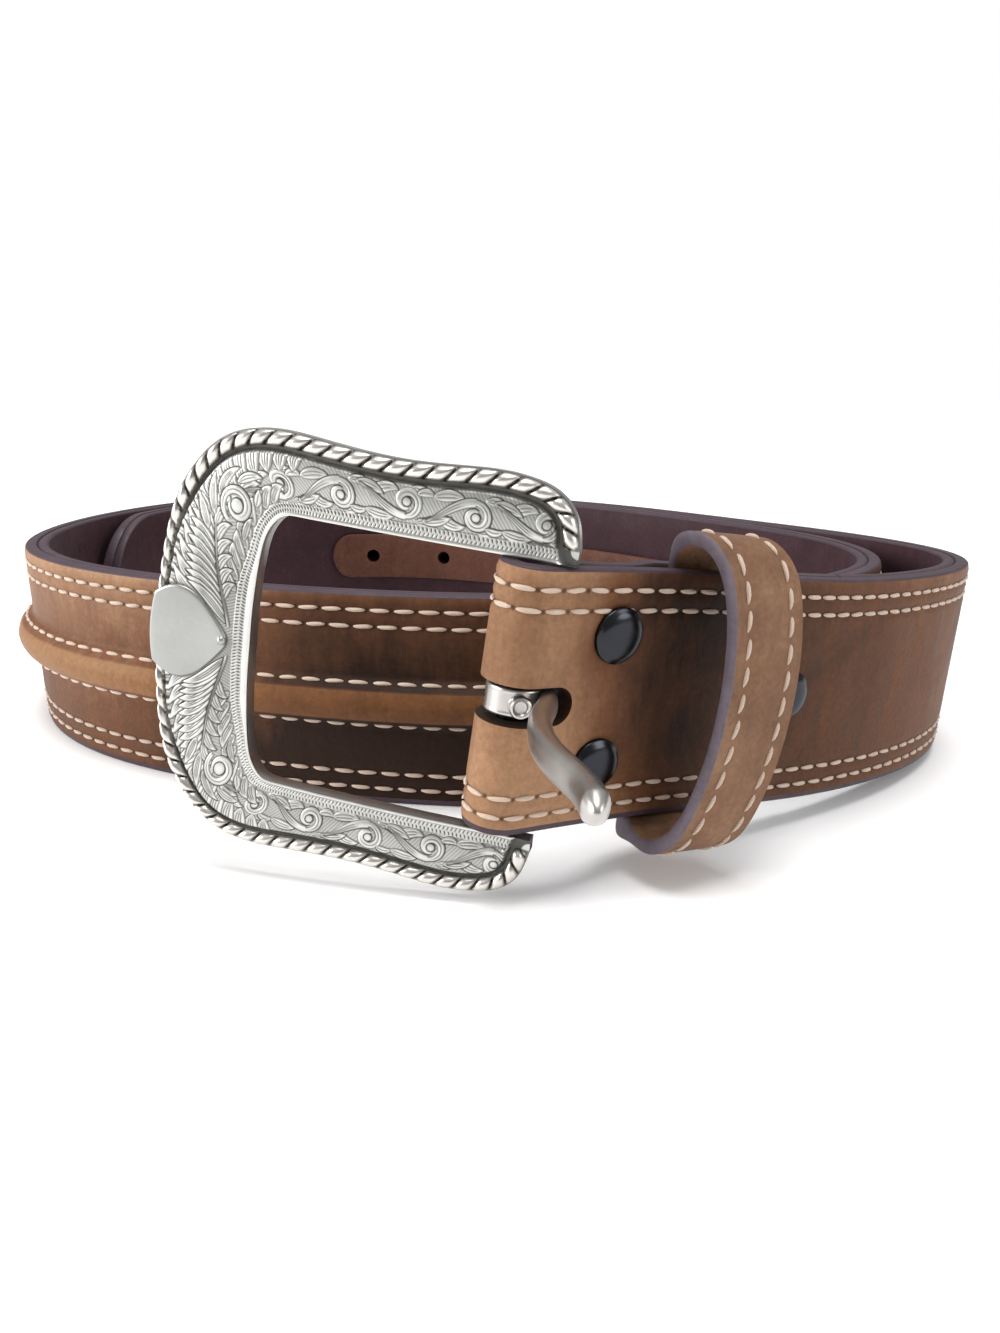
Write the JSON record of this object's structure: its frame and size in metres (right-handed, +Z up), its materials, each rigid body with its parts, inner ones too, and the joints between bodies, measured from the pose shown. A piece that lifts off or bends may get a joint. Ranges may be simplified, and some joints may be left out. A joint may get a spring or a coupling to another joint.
{
  "type": "western leather belt with buckle",
  "caption": "Coiled western leather belt standing on its edge: padded centre ridge, leather keeper, rope-edged engraved buckle frame and swinging prong.",
  "frame": {"origin": "middle of the belt's bounding box in plan, on the floor under its lower edge", "axes": "+Z up across the strap's width, +Y from the buckle side to the back of the coil, +X to the wearer's keeper side at the right of the front view"},
  "size_m": [0.2133, 0.2477, 0.0691],
  "materials": {
    "brown_leather": "waxed, pulled grain",
    "lining_leather": "dull",
    "ridge_leather": "burnished",
    "backing_leather": "dull",
    "keeper_leather": "waxed",
    "antique_silver": "engraved antique silver plate",
    "polished_silver": "polished",
    "gunmetal": "dark polished"
  },
  "bodies": {
    "belt": {"outer_leather": "brown_leather", "lining": "lining_leather", "centre_ridge": "ridge_leather", "hole_backing": "backing_leather", "keeper": "keeper_leather", "screw_upper": "gunmetal", "screw_lower": "gunmetal", "screw_by_keeper": "gunmetal"},
    "buckle": {"buckle_frame": "antique_silver"},
    "prong": {"prong": "polished_silver"}
  },
  "joints": [
    {"name": "buckle_hinge", "type": "hinge", "parent": "belt", "child": "buckle", "pos_m": [0.01025, -0.08154, 0.0322], "axis": [0.1345, -0.0151, 0.9908], "range_deg": [-24, 36]},
    {"name": "prong_hinge", "type": "hinge", "parent": "buckle", "child": "prong", "pos_m": [0.01025, -0.08154, 0.0322], "axis": [0.1345, -0.0151, 0.9908], "range_deg": [-104, 3]}
  ]
}
